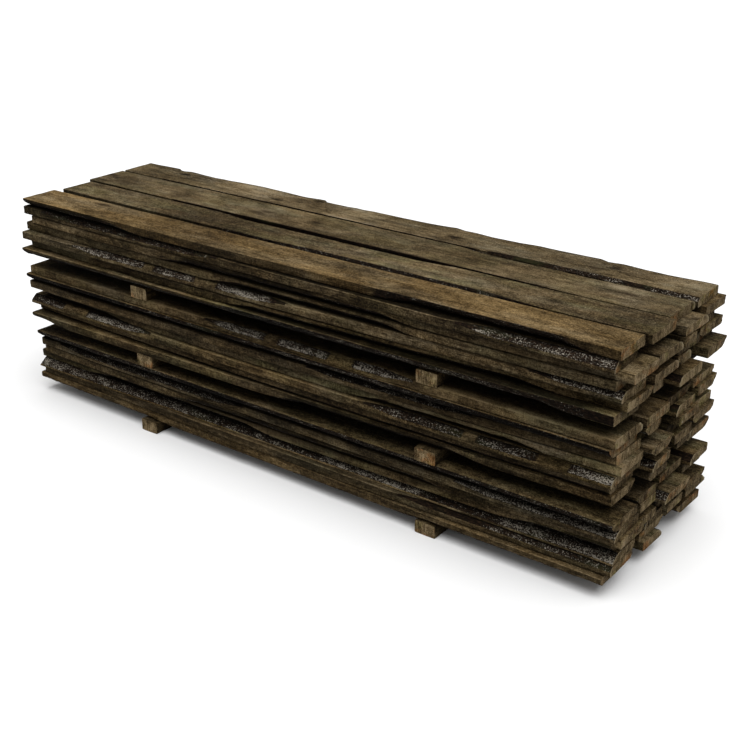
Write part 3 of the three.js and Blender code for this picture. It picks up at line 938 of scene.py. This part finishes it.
class Wood:
    """The nodes of a wood whose pieces lie along an axis, with short calls for making them.

    The functions below take a Wood as t.
    """

    def __init__(self, name, length_axis):
        self.material = bpy.data.materials.new(name)
        self.material.use_nodes = True
        self.tree = self.material.node_tree
        self.shader = self.tree.nodes["Principled BSDF"]
        self.grain = self.read("grain", "Vector")
        self.tone, self.warmth, self.green = self.split(self.read("tone", "Vector"))
        normal = self.split(self.node("NewGeometry").outputs["True Normal"])
        end, edge = normal[length_axis], normal[1 - length_axis]
        self.is_end = self.step(self.math("ABSOLUTE", end), *END_NORMAL)
        self.is_edge = self.step(self.math("ABSOLUTE", edge), *EDGE_NORMAL)

    def put(self, socket, value):
        if isinstance(value, bpy.types.NodeSocket):
            self.tree.links.new(value, socket)
        else:
            socket.default_value = value

    def node(self, kind, settings=None, **inputs):
        made = self.tree.nodes.new("ShaderNode" + kind)
        for name, value in (settings or {}).items():
            setattr(made, name, value)
        for name, value in inputs.items():
            self.put(made.inputs[name.replace("_", " ")], value)
        return made

    def read(self, name, output="Fac"):
        return self.node("Attribute", {"attribute_name": name}).outputs[output]

    def math(self, operation, *values, kind="Math"):
        made = self.node(kind, {"operation": operation})
        for socket, value in zip(made.inputs, values):
            self.put(socket, value)
        return made.outputs[0]

    def vector_math(self, operation, *values):
        return self.math(operation, *values, kind="VectorMath")

    def split(self, vector):
        return self.node("SeparateXYZ", Vector=vector).outputs

    def noise(self, vector, scale, detail, rough, colour=False):
        """Noise over a place in metres. scale is lumps to a metre along X, Y and Z."""
        at = self.vector_math("MULTIPLY", vector, scale)
        made = self.node("TexNoise", Vector=at, Scale=1.0, Detail=detail, Roughness=rough)
        return made.outputs["Color" if colour else "Fac"]

    def ramp(self, value, *stops):
        """A straight-line scale through stops of (place, number or colour)."""
        made = self.node("ValToRGB", Fac=value)
        elements = made.color_ramp.elements
        while len(elements) < len(stops):
            elements.new(0.5)
        for element, (place, shade) in zip(elements, stops):
            element.position = place
            shade = shade if isinstance(shade, tuple) else (shade,) * 3
            element.color = (*shade, 1)
        return made.outputs["Color"]

    def step(self, value, low, high):
        kind = {"interpolation_type": "SMOOTHSTEP"}
        return self.node("MapRange", kind, Value=value, From_Min=low, From_Max=high).outputs[0]

    def mix(self, share, first, second, blend="MIX"):
        made = self.node("Mix", {"data_type": "RGBA", "blend_type": blend})
        for socket, value in zip(MIX_SOCKETS, (share, first, second)):
            if isinstance(value, tuple) and len(value) == 3:
                value = (*value, 1)
            self.put(made.inputs[socket], value)
        return made.outputs[MIX_RESULT]

    def about_zero(self, vector, recipe, weight):
        """Noise about zero, times its weight."""
        return self.math("MULTIPLY_ADD", self.noise(vector, *recipe), weight, -0.5 * weight)

    def total(self, first, *others):
        for other in others:
            first = self.math("ADD", first, other)
        return first

    def weighted(self, base, *terms):
        """The base plus values times their weights."""
        for value, weight in terms:
            base = self.math("MULTIPLY_ADD", value, weight, base)
        return base

    def part(self, value, amount):
        return self.math("MULTIPLY", value, amount)

    def shaded(self, colour, factor):
        """A colour times a number or another colour."""
        factor = (factor,) * 3 if isinstance(factor, float) else factor
        return self.mix(1.0, colour, factor, "MULTIPLY")

    def shifted(self, by):
        """The place in the grain moved, so that a noise differs from the others."""
        return self.vector_math("ADD", self.grain, by)

    def tint(self, base, shade, amount, scale, shift, low, high):
        """A colour with a hue in patches, where a noise is above low, and full above high."""
        patch = self.noise(self.shifted(shift), scale, TINT_DETAIL, TINT_ROUGH)
        share = self.part(self.step(patch, low, high), amount)
        return self.mix(share, base, shade, "MULTIPLY")


def read_grain(t, bristle):
    """Rings round the heart of the log, seen along the piece as streaks, and finer grain."""
    bend = t.noise(t.grain, *BEND, colour=True)
    bend = t.vector_math("SUBTRACT", bend, (0.5, 0.5, 0.5))
    bend = t.vector_math("MULTIPLY", bend, BEND_DEPTH)
    t.bent = t.vector_math("ADD", t.grain, bend)
    from_heart = t.node("VectorMath", {"operation": "LENGTH"})
    t.put(from_heart.inputs[0], t.vector_math("MULTIPLY", t.bent, (0, 1, 1)))
    phase = t.part(from_heart.outputs["Value"], 2 * math.pi / RING_SPACING)
    t.rings = t.math("MULTIPLY_ADD", t.math("SINE", phase), 0.5, 0.5)
    t.fibre = t.about_zero(t.bent, FIBRE, 0.9 * bristle)
    t.streaks = t.about_zero(t.bent, STREAKS, 0.55)
    t.mottle = t.about_zero(t.bent, MOTTLE, 1.55 * bristle)
    t.blotches = t.about_zero(t.grain, BLOTCHES, 1.15)
    t.specks = t.about_zero(t.shifted((1, 2, 3)), SPECKS, 1.8)
    t.saw = t.noise(t.grain, *SAW_MARKS)
    t.fuzz = t.noise(t.grain, *END_FUZZ)
    t.fine_bark = t.noise(t.grain, *FINE_BARK)
    off_check = t.math("ABSOLUTE", t.about_zero(t.bent, CHECKS, 1.0))
    checked = t.noise(t.shifted((4, 4, 9)), *CHECKED_PLACES)
    check = t.math("SUBTRACT", 1, t.step(off_check, 0.003, 0.022))
    t.checks = t.part(check, t.step(checked, 0.50, 0.62))

    # Share of light wood
    light = t.total(t.fibre, t.streaks, t.mottle, t.blotches, t.specks)
    ragged = t.math("MULTIPLY_ADD", t.blotches, 2.2, 1)
    marks = (t.read("mark"), ragged)
    light = t.weighted(light, (t.rings, 0.10), (t.tone, 0.45), marks)
    t.light = t.math("ADD", light, 0.20)


def face_colour(t):
    """Weathered grain in golden, olive, grey and rusty patches, with knots and dirt."""
    colour = t.ramp(t.light, *FACE_SCALE)
    coolness = t.math("SUBTRACT", 0.85, t.warmth)
    colour = t.tint(colour, GOLD, t.warmth, (2.2, 8, 8), (7, 3, 5), 0.32, 0.62)
    colour = t.tint(colour, OLIVE, t.green, (3.2, 9, 9), (2, 8, 1), 0.42, 0.62)
    colour = t.tint(colour, GREY, coolness, (4.1, 10, 10), (3, 9, 1), 0.42, 0.66)
    colour = t.tint(colour, RUST, 0.10, (6.0, 21, 21), (5, 1, 4), 0.60, 0.76)
    knot_at = t.vector_math("MULTIPLY", t.bent, KNOT_SCALE)
    knots = t.node("TexVoronoi", Vector=knot_at, Scale=1.0)
    knot = t.math("SUBTRACT", 1, t.step(knots.outputs["Distance"], 0.05, 0.16))
    colour = t.mix(t.part(knot, 0.7), colour, KNOT)
    colour = t.mix(t.part(t.checks, 0.7), colour, WOODS[0])
    # Patches of dirt on the wood itself
    dirt_and_painted_shade = t.step(t.noise(t.shifted((9, 2, 2)), *DIRT), 0.50, 0.70)
    return t.mix(t.part(dirt_and_painted_shade, 0.35), colour, DIRT_SHADE, "MULTIPLY")


def edge_colour(t, colour):
    """The faces' colour with upright saw marks and stains."""
    colour = t.shaded(colour, t.ramp(t.saw, *SAW_SCALE))
    stain = t.noise(t.shifted((8, 6, 4)), *EDGE_STAINS)
    return t.shaded(colour, t.ramp(stain, *STAIN_SCALE))


def end_colour(t):
    """A fuzzy cut across the rings with strokes and stains, paler next to bark."""
    scale, detail, rough = END_STROKES
    at = t.node("Mapping", Vector=t.grain, Rotation=(STROKE_TURN, 0, 0), Scale=scale)
    at = at.outputs["Vector"]
    strokes = t.node("TexNoise", Vector=at, Scale=1.0, Detail=detail, Roughness=rough)
    strokes = strokes.outputs["Fac"]
    light = t.weighted(-0.95, (t.fuzz, 2.0), (strokes, 1.4), (t.rings, 0.14))
    light = t.total(light, t.about_zero(t.grain, END_STAINS, 1.5))
    light = t.math("SUBTRACT", t.weighted(light, (t.tone, 0.6)), 0.62)
    colour = t.ramp(light, *END_SCALE)
    colour = t.tint(colour, RUST, 0.8, (3, 9, 13), (2, 2, 7), 0.52, 0.68)
    colour = t.tint(colour, MOSSY, 0.45, (3, 13, 17), (6, 5, 3), 0.54, 0.70)
    return t.mix(t.part(t.read("sap"), 0.4), colour, SAPWOOD)


def bark_colour(t):
    """Bark with moss, and lichen in a thin film and in specks."""
    colour = t.mix(t.step(t.fine_bark, 0.42, 0.72), BARK_DARK, BARK_BROWN)
    moss = t.step(t.noise(t.grain, *MOSS_PLACES), 0.55, 0.72)
    colour = t.mix(t.part(moss, 0.30), colour, MOSS)
    density = t.read("lichen")
    crust = t.about_zero(t.shifted((1, 1, 1)), CRUST, 2.6)
    crust = t.total(crust, t.about_zero(t.grain, CRUST_PLACES, 1.1))
    crust = t.weighted(crust, (density, 0.50))
    grows = t.step(density, 0.02, 0.10)
    t.speckled = t.part(t.step(crust, 0.45, 0.55), grows)
    film = t.part(t.step(crust, 0.12, 0.60), grows)
    colour = t.mix(t.part(film, 0.50), colour, LICHEN_GREY)
    return t.mix(t.speckled, colour, LICHEN_PALE)


def relief(t, is_bark):
    """The fine relief, as a normal."""
    height = t.total(t.fibre, t.streaks, t.part(t.mottle, 0.6), t.specks)
    height = t.weighted(height, (t.rings, 0.18))
    height = t.math("SUBTRACT", height, t.part(t.checks, 0.9))
    on_edge, on_end = t.part(t.saw, t.is_edge), t.part(t.fuzz, t.is_end)
    height = t.weighted(height, (on_edge, 1.2), (on_end, 3.0))
    bark_height = t.weighted(t.part(t.fine_bark, 4.0), (t.speckled, 0.8))
    height = t.mix(is_bark, height, bark_height)
    bump = t.node("Bump", Height=height, Distance=BUMP_DISTANCE, Strength=BUMP_STRENGTH)
    return bump.outputs["Normal"]


def wood_material(name, brightness, edge_painted_shade, end_shade, bristle, length_axis=0):
    """Rough-sawn weathered wood with bark and lichen where the vertices say so.

    brightness is over the faces and end_shade over the ends; the edge shade darkens the edges
    as painted shade, and bristle is the strength of the short fine grain.
    """
    t = Wood(name, length_axis)
    read_grain(t, bristle)
    face = face_colour(t)
    edge = t.shaded(edge_colour(t, face), edge_painted_shade)
    end = t.shaded(end_colour(t), end_shade)
    # The edges darker than the faces: painted shade
    wood = t.mix(t.is_edge, t.shaded(face, brightness), edge)
    wood = t.mix(t.is_end, wood, end)
    bark = bark_colour(t)
    off_middle = t.math("SUBTRACT", t.fine_bark, 0.5)
    ragged = t.weighted(t.read("bark"), (off_middle, 1.2))
    is_bark = t.part(t.step(ragged, 0.35, 0.6), t.math("SUBTRACT", 1, t.is_end))
    surface = t.mix(is_bark, wood, bark)
    # Painted shade darkens the base colour under overhangs and in seams
    painted_shade_ramp = t.ramp(t.read("painted_shade"), *PAINTED_SHADE_SCALE)
    t.put(t.shader.inputs["Base Color"], t.shaded(surface, painted_shade_ramp))
    t.put(t.shader.inputs["Roughness"], t.ramp(t.light, *ROUGHNESS_SCALE))
    t.shader.inputs["Specular IOR Level"].default_value = SPECULAR
    t.put(t.shader.inputs["Normal"], relief(t, is_bark))
    return t.material


# brightness, painted shade on the edges, end shade, bristle
MATERIALS = {
    "top_board": wood_material("top_board", 0.93, 0.42, 0.95, 0.6),
    "sawn_board": wood_material("sawn_board", 0.78, 0.64, 0.93, 0.9),
    "bearer_wood": wood_material("bearer_wood", 0.55, 0.55, 1.15, 1.0, length_axis=1),
}


# ---- pieces

layer_above = None
for tier_number, tier in enumerate(TIERS):
    for layer in range(1, LAYERS_IN_TIER + 1):
        node = f"{tier}_tier_layer_{layer}"
        on_top = layer_above is None
        boards = read_layer(node)
        parts = []
        for column, read in enumerate(boards):
            kind = "top" if on_top else ("near", "inner", "inner", "far")[column]
            cover = None if on_top else cover_of(layer_above, column)
            seed = 1000 * tier_number + 100 * layer + 10 * column
            board = Board(read, tier, layer, column, cover, DETAIL[kind], seed)
            parts.append(board_arrays(board))
        layer_above = boards
        if on_top:
            for number, part in enumerate(parts, 1):
                piece_from(f"top_board_{number}", [part], "top_board", node)
        else:
            piece_from(f"{tier}_boards_{layer}", parts, "sawn_board", node)

for number, level in enumerate(("ground", "lower", "upper")):
    for hand, side in enumerate(("left", "right")):
        node = f"{level}_bearer_{side}"
        part = bearer_arrays(node, 5000 + 20 * number + 10 * hand)
        piece_from(f"{node}_timber", [part], "bearer_wood", node)


# ---- floor, light and camera

FLOOR_HALF = 40
FLOOR_COLOUR = (0.80, 0.80, 0.80, 1)
FLOOR_ROUGHNESS = 0.95
WORLD_COLOUR = (1, 1, 1, 1)
WORLD_STRENGTH = 0.45
# A very soft light from high on the right and a little in front
LIGHT_DIRECTION = (-0.22, 0.20, -1)
LIGHT_STRENGTH = 3.4
LIGHT_ANGLE = math.radians(60)
CAMERA_PLACE = (3.0663, -3.7993, 2.5032)
CAMERA_AZIMUTH = math.radians(37.148)
CAMERA_ELEVATION = math.radians(23.939)
CAMERA_LENS, CAMERA_SENSOR = 59.07, 36  # in mm


def turn_towards(direction):
    """The rotation of a light or camera that faces this way."""
    return Vector(direction).to_track_quat("-Z", "Y").to_euler()


floor_mesh = bpy.data.meshes.new("floor")
floor_mesh.from_pydata(
    [(x * FLOOR_HALF, y * FLOOR_HALF, 0) for x, y in ((-1, -1), (1, -1), (1, 1), (-1, 1))],
    [], [(0, 1, 2, 3)],
)
floor_material = bpy.data.materials.new("floor_white")
floor_material.use_nodes = True
floor_shader = floor_material.node_tree.nodes["Principled BSDF"]
floor_shader.inputs["Base Color"].default_value = FLOOR_COLOUR
floor_shader.inputs["Roughness"].default_value = FLOOR_ROUGHNESS
floor_mesh.materials.append(floor_material)
floor = linked("floor", floor_mesh)

world = bpy.data.worlds.new("studio")
world.use_nodes = True
background = world.node_tree.nodes["Background"]
background.inputs["Color"].default_value = WORLD_COLOUR
background.inputs["Strength"].default_value = WORLD_STRENGTH
bpy.context.scene.world = world

light_data = bpy.data.lights.new("softbox", "SUN")
light_data.energy = LIGHT_STRENGTH
light_data.angle = LIGHT_ANGLE
light = linked("softbox", light_data)
light.rotation_euler = turn_towards(LIGHT_DIRECTION)

camera_data = bpy.data.cameras.new("camera")
camera_data.lens = CAMERA_LENS
camera_data.sensor_width = CAMERA_SENSOR
camera = linked("camera", camera_data)
camera.location = CAMERA_PLACE
camera.rotation_euler = turn_towards((
    -math.sin(CAMERA_AZIMUTH) * math.cos(CAMERA_ELEVATION),
    math.cos(CAMERA_AZIMUTH) * math.cos(CAMERA_ELEVATION),
    -math.sin(CAMERA_ELEVATION),
))
bpy.context.scene.camera = camera
bpy.context.scene.view_settings.view_transform = "Standard"
